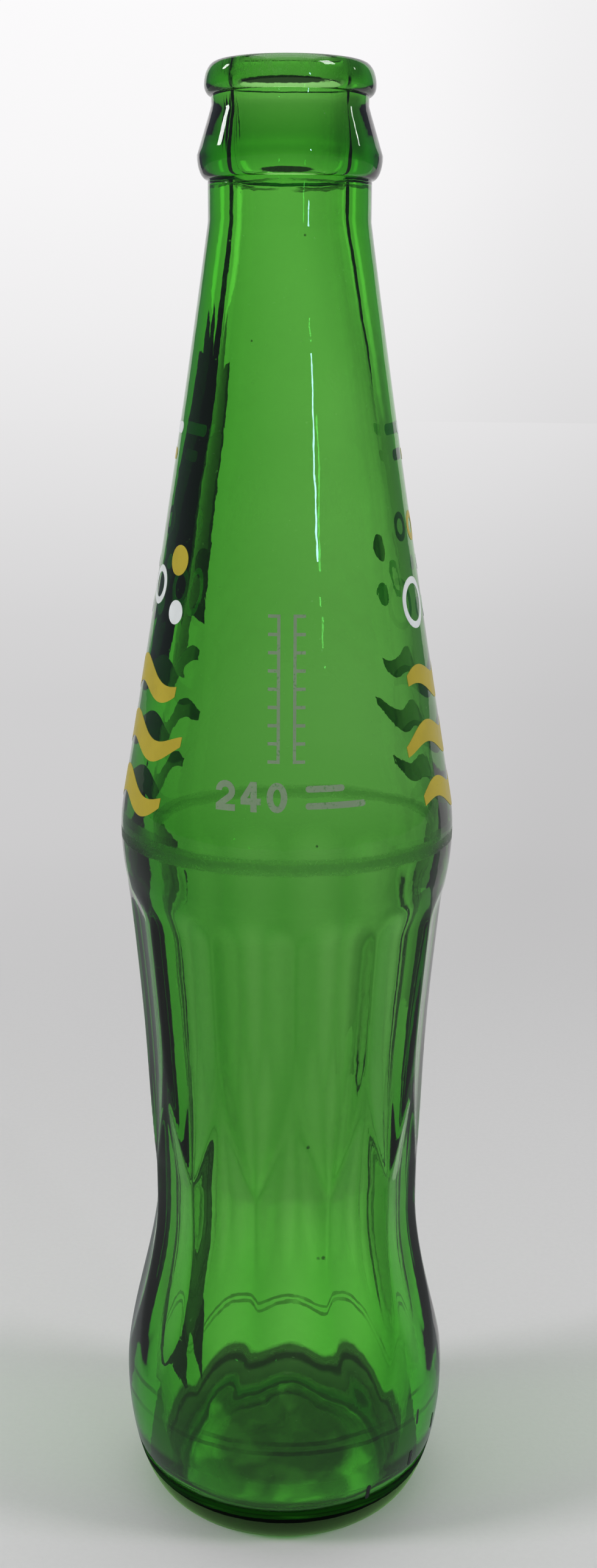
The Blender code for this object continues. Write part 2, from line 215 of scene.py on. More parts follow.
# the bottle's outline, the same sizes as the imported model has

bottle = {
    "height": cadHigh.z,
    "pushUp": 0.0030, "bearingInner": 0.0180, "bearingOuter": 0.0208,
    "heelRadius": 0.0281, "heelHeight": 0.0222, "heelPower": 0.57,
    "waistRadius": 0.02315, "waistHeight": 0.0565,
    "fluteTopRadius": 0.02695,
    "fluteTopSlopes": (0.11, 0.21),  # below and above
    "shoulderRadius": 0.0278, "shoulderHeight": 0.1226,
    "shoulderDrop": 0.0090, "shoulderRise": 0.0085,
    "coneFootRadius": 0.0267, "coneFootSlope": -0.172, "coneTopSlope": -0.141,
    "neckRadius": 0.0128,
    "lip": 0.0,  # from here on depths below the lip, and radii
    "neckFoot": 0.0235,
    "beadFoot": 0.0173, "bead": 0.0137, "beadRadius": 0.01445,
    "groove": 0.0049, "grooveRadius": 0.0122, "grooveLength": 0.0015,
    "ring": 0.0033, "ringRadius": 0.0133,
    "lipOuter": 0.0114, "lipInner": 0.0096, "lipRound": 0.0009,
    "bore": 0.0087,
}
fluteTopHeight = bottle["shoulderHeight"] - bottle["shoulderDrop"]
coneFootHeight = bottle["shoulderHeight"] + bottle["shoulderRise"]
neckFootHeight = bottle["height"] - bottle["neckFoot"]
coneHeight = neckFootHeight - bottle["shoulderHeight"]
outlineKnots = (  # height, radius, slopes below and above
    (bottle["heelHeight"], bottle["heelRadius"], 0.0, 0.0),
    (bottle["waistHeight"], bottle["waistRadius"], 0.0, 0.0),
    (fluteTopHeight, bottle["fluteTopRadius"], *bottle["fluteTopSlopes"]),
    (bottle["shoulderHeight"], bottle["shoulderRadius"], 0.0, 0.0),
    (coneFootHeight, bottle["coneFootRadius"], bottle["coneFootSlope"], bottle["coneFootSlope"]),
    (neckFootHeight, bottle["neckRadius"], bottle["coneTopSlope"], 0.0),
)


def smoothStep(share, start, end, startSlope, endSlope, span):
    square, cube = share ** 2, share ** 3
    return (
        (2 * cube - 3 * square + 1) * start
        + (3 * square - 2 * cube) * end
        + (cube - 2 * square + share) * startSlope * span
        + (cube - square) * endSlope * span
    )


def outlineRadius(height):
    if height <= bottle["heelHeight"]:
        share = max(0.0, height / bottle["heelHeight"])
        bulge = (1 - (1 - share) ** 2) ** bottle["heelPower"]
        return bottle["bearingOuter"] + (bottle["heelRadius"] - bottle["bearingOuter"]) * bulge
    for low, high in zip(outlineKnots, outlineKnots[1:]):
        if height <= high[0]:
            span = high[0] - low[0]
            return smoothStep((height - low[0]) / span, low[1], high[1], low[3], high[2], span)
    return bottle["neckRadius"]


# pale surround: what stands behind the bottle, and a plain light from all around

backdropTint = (1.0, 0.992, 1.0)
surround = {
    "tones": ((0.0, 0.80), (0.05, 0.86), (0.127, 0.93), (0.215, 0.97)),  # by height above the foot
    "foot": -0.05,
    "rightSpan": (0.02, 0.16, 1.0, 0.90),  # darker on the right
    "ambient": 0.34,
    "ambientColor": (1.0, 1.0, 1.01),
}


def seenByGlass(tree):
    path = addNode(tree, "ShaderNodeLightPath").outputs
    return calc(tree, "MAXIMUM", path["Is Camera Ray"], path["Is Glossy Ray"],
                path["Is Transmission Ray"])


def toneRamp(tree, value, tones):
    reach = tones[-1][0]
    share = calc(tree, "DIVIDE", value, reach, clamp=True)
    node = addNode(tree, "ShaderNodeValToRGB", {"Fac": share})
    stops = node.color_ramp.elements
    stops[0].position, stops[1].position = tones[0][0] / reach, 1.0
    for place, tone in tones[1:-1]:
        stops.new(place / reach)
    for stop, (place, tone) in zip(stops, tones):
        stop.color = (*(tone * tint for tint in backdropTint), 1.0)
    return node.outputs["Color"]


def makeSurround():
    world = bpy.data.worlds.new("surround")
    bpy.context.scene.world = world
    world.use_nodes = True
    tree = world.node_tree
    tree.nodes.clear()
    way = placeOn(tree, "Generated")
    climb = calc(tree, "SUBTRACT", partOf(tree, way, "Z"), surround["foot"])
    shown = addNode(tree, "ShaderNodeBackground", {
        "Color": toneRamp(tree, climb, surround["tones"]),
        "Strength": ramp(tree, partOf(tree, way, "X"), *surround["rightSpan"]),
    })
    light = addNode(tree, "ShaderNodeBackground", {
        "Color": (*surround["ambientColor"], 1.0), "Strength": surround["ambient"],
    })
    mix = mixShaders(tree, seenByGlass(tree), light, shown)
    addNode(tree, "ShaderNodeOutputWorld", {"Surface": mix.outputs[0]})


# pale floor that fades into the surround

floorLook = {
    "radius": 4.0, "sides": 96,
    "color": (0.655, 0.650, 0.650),
    "roughness": 0.75, "shine": 0.2,
    "grain": (900.0, 3.0, 0.6),  # scale, detail and roughness of the noise, here and below
    "grainSpan": (0.35, 0.65),
    "grainTone": 0.985,
    "grainBump": (0.15, 0.0002),  # strength and distance
    "fade": (0.16, 0.46),  # from the lit floor to the far one
    "farTones": (  # by one over the distance
        (0.0, 0.86), (0.32, 0.783), (0.61, 0.723), (0.95, 0.665), (1.35, 0.631), (2.5, 0.604),
    ),
    "farNear": 0.1,
    "rightSpan": (0.03, 0.25, 1.0, 0.90),  # darker on the right
    "contact": (0.0190, 0.0215, 0.60, 0.0),  # shade under the bearing ring
    "contactColor": (0.03, 0.035, 0.04),
    "glowReach": (0.0165, 0.0195, 1.0, 0.0),  # light that the glass gathers under its foot
    "glow": 0.92,
    "glowColor": (0.75, 0.95, 0.65),
    "glowNoise": (125.0, 2.0, 0.5, 0.6),
    "glowSpan": (0.42, 0.66, 0.34, 1.0),
}


def makeFloor():
    material, tree = newMaterial("paleFloor")
    place = placeOn(tree)
    away = lengthOf(tree, place)
    grain = noiseMap(tree, place, *floorLook["grain"])
    shade = blendColor(
        tree, ramp(tree, grain, *floorLook["grainSpan"]),
        [c * floorLook["grainTone"] for c in floorLook["color"]], floorLook["color"],
    )
    contact = ramp(tree, away, *floorLook["contact"])
    shade = blendColor(tree, contact, shade, floorLook["contactColor"])
    paper = addNode(tree, "ShaderNodeBsdfPrincipled", {
        "Base Color": shade, "Roughness": floorLook["roughness"],
        "Specular IOR Level": floorLook["shine"],
        "Normal": addBump(tree, grain, *floorLook["grainBump"]),
    })
    distant = calc(tree, "MAXIMUM", away, floorLook["farNear"])
    across = calc(tree, "DIVIDE", partOf(tree, place, "X"), distant)
    far = addNode(tree, "ShaderNodeEmission", {
        "Color": toneRamp(tree, calc(tree, "DIVIDE", 1.0, distant), floorLook["farTones"]),
        "Strength": ramp(tree, across, *floorLook["rightSpan"]),
    })
    mix = mixShaders(tree, ramp(tree, away, *floorLook["fade"]), paper, far)
    glow = patches(tree, place, floorLook["glowNoise"], floorLook["glowSpan"])
    glow = calc(tree, "MULTIPLY", glow, floorLook["glow"],
                ramp(tree, away, *floorLook["glowReach"]))
    under = addGlow(tree, floorLook["glowColor"], glow)
    both = addNode(tree, "ShaderNodeAddShader", {0: mix.outputs[0], 1: under.outputs[0]})
    finishMaterial(tree, both)
    shape = bmesh.new()
    bmesh.ops.create_circle(shape, cap_ends=True, segments=floorLook["sides"],
                            radius=floorLook["radius"])
    linkShape("floor", shape, material)


# soft side and top lamps, small windows for the crown, and one strip that glints on the cone

lamps = {
    "aim": (0.0, 0.0, 0.08),
    "side": (0.95, -0.28, 0.55),  # place of the right one, the left one mirrors it
    "sideSize": (0.25, 0.45),
    "sideWatts": (6.6, 5.5),
    "top": (0.0, 0.15, 1.5),
    "topSize": (1.0, 1.0),
    "topWatts": 4.0,
    "lip": (  # azimuth, elevation, width and height
        (-107.0, 29.0, 0.18, 0.32), (64.6, 47.0, 0.42, 0.42), (104.0, 27.0, 0.04, 0.14),
    ),
    "lipAway": 1.6,
    "lipGlow": 11.0,
    "glintEnds": ((26.4, 10.3), (25.8, 16.6)),  # azimuth and elevation from glintHeight
    "glintHeight": 0.18,
    "glintAway": 1.3,
    "glintWidth": 0.034,
    "glintGlow": 22.0,
    "glintColor": (0.50, 0.80, 1.0),
}


def makeLamp(name, size, watts, place, target, color=(1.0, 1.0, 1.0)):
    data = bpy.data.lights.new(name, "AREA")
    data.shape = "RECTANGLE"
    data.size, data.size_y = size
    data.energy = watts
    data.color = color
    lamp = bpy.data.objects.new(name, data)
    bpy.context.scene.collection.objects.link(lamp)
    lamp.location = place
    aim = Vector(target) - Vector(place)
    lamp.rotation_mode = "QUATERNION"
    lamp.rotation_quaternion = aim.to_track_quat("-Z", "Y")
    return lamp


def aimed(azimuth, elevation):
    turn, rise = math.radians(azimuth), math.radians(elevation)
    level = math.cos(rise)
    return Vector((math.sin(turn) * level, -math.cos(turn) * level, math.sin(rise)))


def makeSideLamps():
    across, back, up = lamps["side"]
    for name, side, watts in zip(("leftLamp", "rightLamp"), (-1, 1), lamps["sideWatts"]):
        lamp = makeLamp(name, lamps["sideSize"], watts, (side * across, back, up), lamps["aim"])
        lamp.visible_glossy = False
        lamp.visible_transmission = False


def makeLipLamps():
    lip = Vector((0.0, 0.0, bottle["height"]))
    for number, (azimuth, elevation, width, height) in enumerate(lamps["lip"]):
        place = lip + aimed(azimuth, elevation) * lamps["lipAway"]
        watts = lamps["lipGlow"] * math.pi * width * height
        lamp = makeLamp(f"lipLamp{number + 1}", (width, height), watts, place, lip)
        lamp.visible_transmission = False
        lamp.visible_diffuse = False


def makeGlint():
    heart = Vector((0.0, 0.0, lamps["glintHeight"]))
    low, high = (heart + aimed(*end) * lamps["glintAway"] for end in lamps["glintEnds"])
    size = (lamps["glintWidth"], (high - low).length)
    watts = lamps["glintGlow"] * math.pi * size[0] * size[1]
    strip = makeLamp("glintLamp1", size, watts, (low + high) / 2, heart, lamps["glintColor"])
    facing = (strip.location - heart).normalized()
    across = (high - low).normalized().cross(facing).normalized()
    turned = Matrix((across, facing.cross(across), facing)).transposed()
    strip.rotation_quaternion = turned.to_quaternion()


def makeLamps():
    makeSideLamps()
    makeLamp("topLamp", lamps["topSize"], lamps["topWatts"], lamps["top"], lamps["aim"])
    makeLipLamps()
    makeGlint()


# Dark fins stand behind the bottle on both sides, edge on to it. The glass shows them at its
# rim alone. Dim curved walls and floors in front keep glare off the glass.

darkCards = {
    "fins": {  # azimuth from the back, near edge, far edge, foot, top
        "leftInnerCard": (-35.0, 0.041, 0.36, 0.152, 0.198),
        "leftConeCard": (-44.0, 0.043, 0.36, 0.143, 0.207),
        "leftOuterCard": (-55.0, 0.045, 0.36, 0.143, 0.210),
        "leftCard": (-50.0, 0.038, 0.30, 0.060, 0.108),
        "leftLowCard": (-50.0, 0.0352, 0.36, 0.001, 0.060),
        "leftNeckCard": (-66.0, 0.048, 0.40, 0.160, 0.330),
        "rightCard": (52.0, 0.045, 0.36, 0.040, 0.125),
        "rightNeckCard": (66.0, 0.055, 0.40, 0.207, 0.330),
    },
    "finColor": (0.006, 0.008, 0.009),
    "walls": {  # azimuths where wall and floor end, mirrored light only, unseen by
        "front": ((-150.0, 144.0), (-154.0, 130.0), False, "transmission"),
        "room": ((-95.0, 95.0), (-95.0, 95.0), True, "glossy"),
    },
    "wallColor": (0.13, 0.15, 0.17),
    "wallAway": 1.6,
    "wallSpan": (0.001, 3.0),  # foot and top
    "wallSteps": 24,
    "floorColor": (0.26, 0.28, 0.28),
    "floorNear": 0.030,
    "floorLift": 0.0002,
    "rings": {  # near and far edge and colour of what the heel's underside mirrors
        "rimGlowRing": (0.0190, 0.0262, (0.18, 0.36, 0.13)),
        "heelShadeRing": (0.0262, 0.0300, (0.020, 0.026, 0.022)),
    },
    "ringSteps": 72,
}


def turnsBetween(first, last, steps):
    return [math.radians(first + (last - first) * step / steps) for step in range(steps + 1)]


def fromFront(turn, away):
    return away * math.sin(turn), -away * math.cos(turn)


def fromBack(turn, away):
    return away * math.sin(turn), away * math.cos(turn)


def standing(feet, foot, top):
    return [[(x, y, height) for x, y in feet] for height in (foot, top)]


def lying(turns, near, far):
    return [[(*fromFront(turn, away), darkCards["floorLift"]) for turn in turns]
            for away in (near, far)]


def bandShape(low, high):
    shape = bmesh.new()
    layer = shape.loops.layers.uv.new("UVMap")
    rows = [[shape.verts.new(spot) for spot in pair] for pair in zip(low, high)]
    steps = len(rows) - 1
    for step, (a, b) in enumerate(zip(rows, rows[1:])):
        face = shape.faces.new((a[0], b[0], b[1], a[1]))
        spots = ((step, 0), (step + 1, 0), (step + 1, 1), (step, 1))
        for corner, (along, up) in zip(face.loops, spots):
            corner[layer].uv = (along / steps, up)
    return shape


def setAside(item, unseenBy):
    # lights nothing itself, and shows in the glass only
    for way in ("camera", "diffuse", "shadow", unseenBy):
        setattr(item, "visible_" + way, False)


def makeFelt(name, color, mirrored=False):
    material, tree = newMaterial(name + "Face")
    felt = addGlow(tree, color)
    if mirrored:  # shows only to light that the glass mirrored before it let it out
        clear = addNode(tree, "ShaderNodeBsdfTransparent")
        depth = addNode(tree, "ShaderNodeLightPath").outputs["Glossy Depth"]
        felt = mixShaders(tree, calc(tree, "GREATER_THAN", depth, 0.5), clear, felt)
    finishMaterial(tree, felt)
    return material


def makeDarkCards():
    for name, (azimuth, near, far, foot, top) in darkCards["fins"].items():
        feet = [fromBack(math.radians(azimuth), away) for away in (near, far)]
        felt = makeFelt(name, darkCards["finColor"])
        setAside(linkShape(name, bandShape(*standing(feet, foot, top)), felt), "glossy")
    away = darkCards["wallAway"]
    for name, (reach, floorReach, mirrored, unseenBy) in darkCards["walls"].items():
        feet = [fromFront(turn, away) for turn in turnsBetween(*reach, darkCards["wallSteps"])]
        floorTurns = turnsBetween(*floorReach, darkCards["wallSteps"])
        for part, band, color in (
            ("Card", standing(feet, *darkCards["wallSpan"]), darkCards["wallColor"]),
            ("FloorCard", lying(floorTurns, darkCards["floorNear"], away), darkCards["floorColor"]),
        ):
            felt = makeFelt(name + part, color, mirrored)
            setAside(linkShape(name + part, bandShape(*band), felt), unseenBy)
    turns = turnsBetween(0.0, 360.0, darkCards["ringSteps"])
    for name, (near, far, color) in darkCards["rings"].items():
        felt = makeFelt(name, color)
        setAside(linkShape(name, bandShape(*lying(turns, near, far)), felt), "transmission")


# Soft cards out of the camera's view: one dims what the right side of the cone shows, and
# bright ones light up the neck's sides.

softCards = {  # azimuth from the back at both ends, distance, foot, top, tone, strength
    "rightShadeCard": (10.0, 82.0, 0.20, 0.001, 0.250, 0.26, 0.85),
    "leftBrightCard": (-42.0, -23.0, 1.2, 0.27, 0.62, 1.75, 0.90),
    "rightBrightCard": (34.0, 50.0, 1.2, 0.27, 0.62, 1.60, 0.80),
}
softEdges = {"sides": 0.36, "top": 0.80, "steps": 16}  # shares of the card, and its parts


def makeSoftCards():
    for name, (first, last, away, foot, top, tone, strength) in softCards.items():
        material, tree = newMaterial(name + "Face")
        spot = placeOn(tree, "UV")
        fromSide = calc(tree, "PINGPONG", partOf(tree, spot, "X"), 0.5)
        share = calc(tree, "MULTIPLY", ramp(tree, fromSide, 0.0, softEdges["sides"]),
                     ramp(tree, partOf(tree, spot, "Y"), softEdges["top"], 1.0, 1.0, 0.0), strength)
        clear = addNode(tree, "ShaderNodeBsdfTransparent")
        finishMaterial(tree, mixShaders(tree, share, clear, addGlow(tree, (tone, tone, tone))))
        feet = [fromBack(turn, away) for turn in turnsBetween(first, last, softEdges["steps"])]
        setAside(linkShape(name, bandShape(*standing(feet, foot, top)), material), "glossy")


# light that the glass throws on the floor around it, seen through the glass

lightPool = {
    "reach": (0.060, 0.135),
    "glow": 0.40,
    "footReach": (0.0215, 0.0290),
    "sideSpan": (-0.03, 0.03, 0.75, 1.2),  # brighter on the right
    "lift": 0.0001,
    "sides": 64,
}


def makeLightPool():
    material, tree = newMaterial("lightPool")
    place = placeOn(tree)
    away = lengthOf(tree, place)
    glow = calc(
        tree, "MULTIPLY", ramp(tree, away, *lightPool["reach"], lightPool["glow"], 0.0),
        ramp(tree, partOf(tree, place, "X"), *lightPool["sideSpan"]),
        ramp(tree, away, *lightPool["footReach"]),
    )
    clear = addNode(tree, "ShaderNodeBsdfTransparent")
    light = addGlow(tree, (1.0, 1.0, 1.0), glow)
    both = addNode(tree, "ShaderNodeAddShader", {0: clear.outputs[0], 1: light.outputs[0]})
    finishMaterial(tree, both)
    shape = bmesh.new()
    bmesh.ops.create_circle(shape, cap_ends=True, segments=lightPool["sides"],
                            radius=lightPool["reach"][1])
    pool = linkShape("lightPool", shape, material)
    pool.location = (0.0, 0.0, lightPool["lift"])
    setAside(pool, "glossy")


makeSurround()
makeFloor()
makeLamps()
makeDarkCards()
makeSoftCards()
makeLightPool()
print("studio set")


# glass body

walls = {
    "heel": 0.0048, "body": 0.0043, "shoulder": 0.0038, "cone": 0.0034,
    "base": 0.0042, "floorRise": 0.0022, "heelRound": 0.0060,
    "lean": (0.0007, 0.0002),  # how far the hollow sits off the axis in the cone, across and back
    "leanEnds": (0.06, 0.03),  # over what height that starts and stops
    "ripple": 0.00012, "ripplePitch": 70.0, "rippleRing": 0.02, "rippleEnd": 0.02,
}
flutes = {
    "count": 12, "turn": math.radians(3.3), "depth": 0.0010,
    "footRise": 0.0040, "footArch": 0.0200, "topArch": 0.0060,
    "junctionRise": 0.0070, "splitRise": 0.0365,
    "lowerArchRise": 0.0130, "lowerTopRise": 0.0205,
    "power": 2.0, "splitPower": 2.2,
    "ridgePower": 1.35,  # above 1 rounds the ridges between flutes
}
meshSteps = {
    "outerSides": 288, "innerSides": 144,
    "dome": 8, "bearing": 3, "heel": 22, "round": 8, "lipRound": 4,
    "flutePitch": 0.0009, "shoulderPitch": 0.0007, "conePitch": 0.0022, "innerPitch": 0.0022,
}


def wallThickness(height):
    knots = (
        (bottle["heelHeight"], walls["heel"]),
        (bottle["waistHeight"], walls["body"]),
        (fluteTopHeight, walls["body"]),
        (bottle["shoulderHeight"], walls["shoulder"]),
        (coneFootHeight, walls["cone"]),
        (neckFootHeight, bottle["neckRadius"] - bottle["bore"]),
    )
    return float(np.interp(height, *zip(*knots)))


def fluteDepth(height, azimuth):
    foot = bottle["heelHeight"] + flutes["footRise"]
    if not foot < height < fluteTopHeight:
        return 0.0
    junction = bottle["waistHeight"] + flutes["junctionRise"]
    split = bottle["waistHeight"] + flutes["splitRise"]
    climb = heldShare((height - junction) / (split - junction))
    upper = 1 - (1 - climb) ** flutes["splitPower"]
    lower = 1 - upper
    halfPitch = math.pi / flutes["count"]
    turn = (azimuth - flutes["turn"]) % (2 * halfPitch)
    fromRidge = min(turn, 2 * halfPitch - turn) / halfPitch
    if fromRidge > lower:
        width, place = upper, (1 - fromRidge) / upper
        end = (height - fluteTopHeight + flutes["topArch"]) / flutes["topArch"]
    elif lower > 0:
        width, place = lower, fromRidge / lower
        arch = bottle["waistHeight"] + flutes["lowerArchRise"]
        archSpan = flutes["lowerTopRise"] - flutes["lowerArchRise"]
        end = max((foot + flutes["footArch"] - height) / flutes["footArch"],
                  (height - arch) / archSpan)
        if end >= 1:
            return 0.0
    else:
        return 0.0
    narrowing = 1 - max(0.0, end) ** 2
    if narrowing <= 0:
        return 0.0
    place = place / math.sqrt(narrowing)
    hollow = (1 - min(1.0, place) ** flutes["power"]) ** flutes["ridgePower"]
    if height > fluteTopHeight - flutes["topArch"]:
        narrowing *= narrowing  # the tops run out softly
    return flutes["depth"] * width * narrowing * hollow


def quarter(ends, steps, outward):
    startRadius, start, endRadius, end = (bottle[name] for name in ends)
    points = []
    for step in range(1, steps + 1):
        angle = math.pi / 2 * step / steps
        across = math.sin(angle) if outward else 1 - math.cos(angle)
        along = 1 - math.cos(angle) if outward else math.sin(angle)
        points.append((
            startRadius + (endRadius - startRadius) * across,
            bottle["height"] - start - (end - start) * along,
        ))
    return points


def outerProfile():
    points = []
    for step in range(1, meshSteps["dome"] + 1):
        share = step / meshSteps["dome"]
        points.append((bottle["bearingInner"] * share, bottle["pushUp"] * (1 - share ** 2)))
    for step in range(1, meshSteps["bearing"]):
        share = step / meshSteps["bearing"]
        width = bottle["bearingOuter"] - bottle["bearingInner"]
        points.append((bottle["bearingInner"] + width * share, 0.0))
    for step in range(meshSteps["heel"]):
        height = bottle["heelHeight"] * (step / meshSteps["heel"]) ** 2
        points.append((outlineRadius(height), height))
    spans = (
        (bottle["heelHeight"], fluteTopHeight, meshSteps["flutePitch"]),
        (fluteTopHeight, coneFootHeight, meshSteps["shoulderPitch"]),
        (coneFootHeight, neckFootHeight, meshSteps["conePitch"]),
    )
    for low, high, pitch in spans:
        count = math.ceil((high - low) / pitch)
        for step in range(count):
            height = low + (high - low) * step / count
            points.append((outlineRadius(height), height))
    top, steps = bottle["height"], meshSteps["round"]
    points.append((bottle["neckRadius"], neckFootHeight))
    points.append((bottle["neckRadius"], top - bottle["beadFoot"]))
    points += quarter(("neckRadius", "beadFoot", "beadRadius", "bead"), steps, True)
    grooveFoot = bottle["groove"] + bottle["grooveLength"]
    for step in range(1, steps + 1):
        share = step / steps
        radius = bottle["beadRadius"] + (bottle["grooveRadius"] - bottle["beadRadius"]) * share
        points.append((radius, top - bottle["bead"] + (bottle["bead"] - grooveFoot) * share))
    points.append((bottle["grooveRadius"], top - bottle["groove"]))
    points += quarter(("grooveRadius", "groove", "ringRadius", "ring"), steps, True)
    points += quarter(("ringRadius", "ring", "lipOuter", "lip"), steps, False)
    return points


def innerProfile():
    points = [(bottle["lipInner"], bottle["height"])]
    points += quarter(("lipInner", "lip", "bore", "lipRound"), meshSteps["lipRound"], True)
    points.append((bottle["bore"], neckFootHeight))
    floorTop = walls["base"] + walls["heelRound"]
    count = math.ceil((neckFootHeight - floorTop) / meshSteps["innerPitch"])
    for step in range(1, count + 1):
        height = neckFootHeight + (floorTop - neckFootHeight) * step / count
        points.append((outlineRadius(height) - wallThickness(height), height))
    side, steps = points[-1][0], meshSteps["round"]
    for step in range(1, steps + 1):
        angle = math.pi / 2 * step / steps
        radius = side - walls["heelRound"] * (1 - math.cos(angle))
        points.append((radius, floorTop - walls["heelRound"] * math.sin(angle)))
    flat = points[-1][0]
    for step in range(1, steps):
        share = 1 - step / steps
        points.append((flat * share, walls["base"] + walls["floorRise"] * (1 - share ** 2)))
    return points


def outerPoint(radius, height, azimuth):
    reach = radius - fluteDepth(height, azimuth)
    return (reach * math.sin(azimuth), -reach * math.cos(azimuth), height)


def innerPoint(radius, height, azimuth):
    fromNeck = neckFootHeight - height
    leanStart, leanStop = walls["leanEnds"]
    inCone = heldShare((height - bottle["waistHeight"]) / leanStart)
    inCone *= heldShare(fromNeck / leanStop)
    ring = walls["rippleRing"]
    place = Vector((math.sin(azimuth) * ring, math.cos(azimuth) * ring, height))
    ripple = walls["ripple"] * noise.noise(place * walls["ripplePitch"])
    reach = radius + ripple * heldShare(fromNeck / walls["rippleEnd"])
    across = reach * math.sin(azimuth) + walls["lean"][0] * inCone
    back = -reach * math.cos(azimuth) + walls["lean"][1] * inCone
    return (across, back, height)


def addRing(shape, count, point, radius, height):
    turns = (flutes["turn"] + 2 * math.pi * side / count for side in range(count))
    return [shape.verts.new(point(radius, height, turn)) for turn in turns]


def joinRings(shape, low, high):
    # the ring above has as many points, or half as many
    many, few = len(low), len(high)
    step = many // few
    for side in range(few):
        after = (side + 1) % few
        corners = [low[(side * step + place) % many] for place in range(step + 1)]
        if step == 1:
            shape.faces.new((corners[0], corners[1], high[after], high[side]))
            continue
        shape.faces.new((corners[0], corners[1], high[side]))
        shape.faces.new((corners[1], high[after], high[side]))
        shape.faces.new((corners[1], corners[2], high[after]))


def makeGlassShape():
    shape = bmesh.new()
    rings = [addRing(shape, meshSteps["outerSides"], outerPoint, *spot) for spot in outerProfile()]
    rings += [addRing(shape, meshSteps["innerSides"], innerPoint, *spot) for spot in innerProfile()]
    for low, high in zip(rings, rings[1:]):
        joinRings(shape, low, high)
    footCentre = shape.verts.new((0.0, 0.0, bottle["pushUp"]))
    floorCentre = shape.verts.new((0.0, 0.0, walls["base"] + walls["floorRise"]))
    for centre, ring in ((footCentre, rings[0]), (floorCentre, rings[-1])):
        for side, corner in enumerate(ring):
            shape.faces.new((centre, corner, ring[(side + 1) % len(ring)]))
    bmesh.ops.recalc_face_normals(shape, faces=shape.faces)
    return shape


glassLook = {
    "color": (0.985, 1.0, 0.98),
    "ior": 1.52,
    "density": 370.0,
    "tint": (0.249, 0.738, 0.0),  # share of each colour left by the volume
    "shadowColor": (0.93, 0.95, 0.93),
    "polish": (0.015, 0.42),  # clean and worn
    "waves": ((130.0, 2.0, 0.5), 0.00006),  # noise scale, detail and roughness, then the height
    "fine": ((800.0, 2.0, 0.5), 0.000006),
    "fineStretch": (1.0, 1.0, 0.6),
    "sharpAngle": 60.0,
}
wearAndShadeMarks = {
    "ragged": ((160.0, 3.0, 0.6), 0.0009),  # noise, then how far it moves an edge
    "wobble": ((210.0, 3.0, 0.6), 0.0011),
    "frayed": ((900.0, 3.0, 0.6), 0.5),  # in shares of the mark
    "color": (0.62, 0.70, 0.60),
    "grimeColor": (0.004, 0.006, 0.004),
    # near black colour of the painted shade ring round the lower heel
    "paintedHeelShadeColor": (0.07, 0.05, 0.10),
    "lipHeights": (0.2396, 0.2404),  # where the lip's wear starts and is full
    "lipRadii": (0.0096, 0.0100, 1.0, 0.0),
    "footHeights": (0.0013, 0.00169, 0.8, 0.0),
    "partingGrime": 0.9,
    "partingCut": 0.00004,
    "specks": (  # place and radius of the seeds and chips that show most
        (0.0056, -0.0226, 0.0532, 0.0006), (0.0065, -0.0224, 0.0533, 0.0005),
        (0.0038, -0.0233, 0.0735, 0.0004), (0.0024, -0.0129, 0.2168, 0.0003),
        (-0.0056, -0.0144, 0.2013, 0.0003), (-0.0039, -0.0246, 0.0935, 0.0003),
        (0.0048, -0.0272, 0.1255, 0.0003),
    ),
    "speckSpan": (0.5, 1.0, 0.9, 0.0),  # shares of the size, and how strong it is at each
    "speckWobble": 0.5,
    "streaks": (  # place, half length and how flat: grime under the crown and on the lip ring
        (-0.0003, -0.0142, 0.2262, 0.0048, 10.0), (-0.0010, -0.0130, 0.2389, 0.0078, 13.0),
    ),
    "streakSpan": (0.8, 1.0, 1.0, 0.0),
}
wearAndShadeBands = {  # height and half width
    "shoulderScuff": (0.1216, 0.0007),
    "heelGrime": (0.0204, 0.0003),
    "footEdge": (0.0094, 0.00012),
    # painted shade, not wear: the dark ring that the curving heel shows where it lets no light
    # through
    "paintedHeelShade": (0.0069, 0.0015),
    "parting": (0.2249, 0.00012),
    "fade": 1.8,  # they run out at this many half widths
}
wearPatches = {  # noise, then what span of it becomes what
    "shoulderScuff": ((2400.0, 3.0, 0.7), (0.25, 0.60, 0.45, 1.0)),
    "heelGrime": ((60.0, 2.0, 0.5), (0.35, 0.60, 0.15, 0.8)),
    "footEdge": ((90.0, 2.0, 0.5), (0.45, 0.60, 0.0, 0.8)),
    "parting": ((95.0, 1.0, 0.4), (0.44, 0.54)),
    "lipGrains": ((1500.0, 4.0, 0.7), (0.42, 0.58, 0.1, 1.0)),
    "lipPatches": ((260.0, 2.0, 0.5), (0.38, 0.56, 0.2, 1.0)),
    "pits": ((1400.0, 1.0, 0.4), (0.76, 0.80, 0.0, 0.6)),
}


def heightBand(tree, height, ragged, name):
    middle, half = wearAndShadeBands[name]
    moved = calc(tree, "ADD", height, ragged)
    away = calc(tree, "ABSOLUTE", calc(tree, "SUBTRACT", moved, middle))
    return ramp(tree, away, half, half * wearAndShadeBands["fade"], 1.0, 0.0)


def roundMark(tree, place, spot, size, frayed, span):
    away = addNode(tree, "ShaderNodeVectorMath", {0: place, 1: spot}, operation="DISTANCE")
    away = calc(tree, "ADD", away.outputs["Value"], frayed)
    return ramp(tree, away, size * span[0], size * span[1], *span[2:])


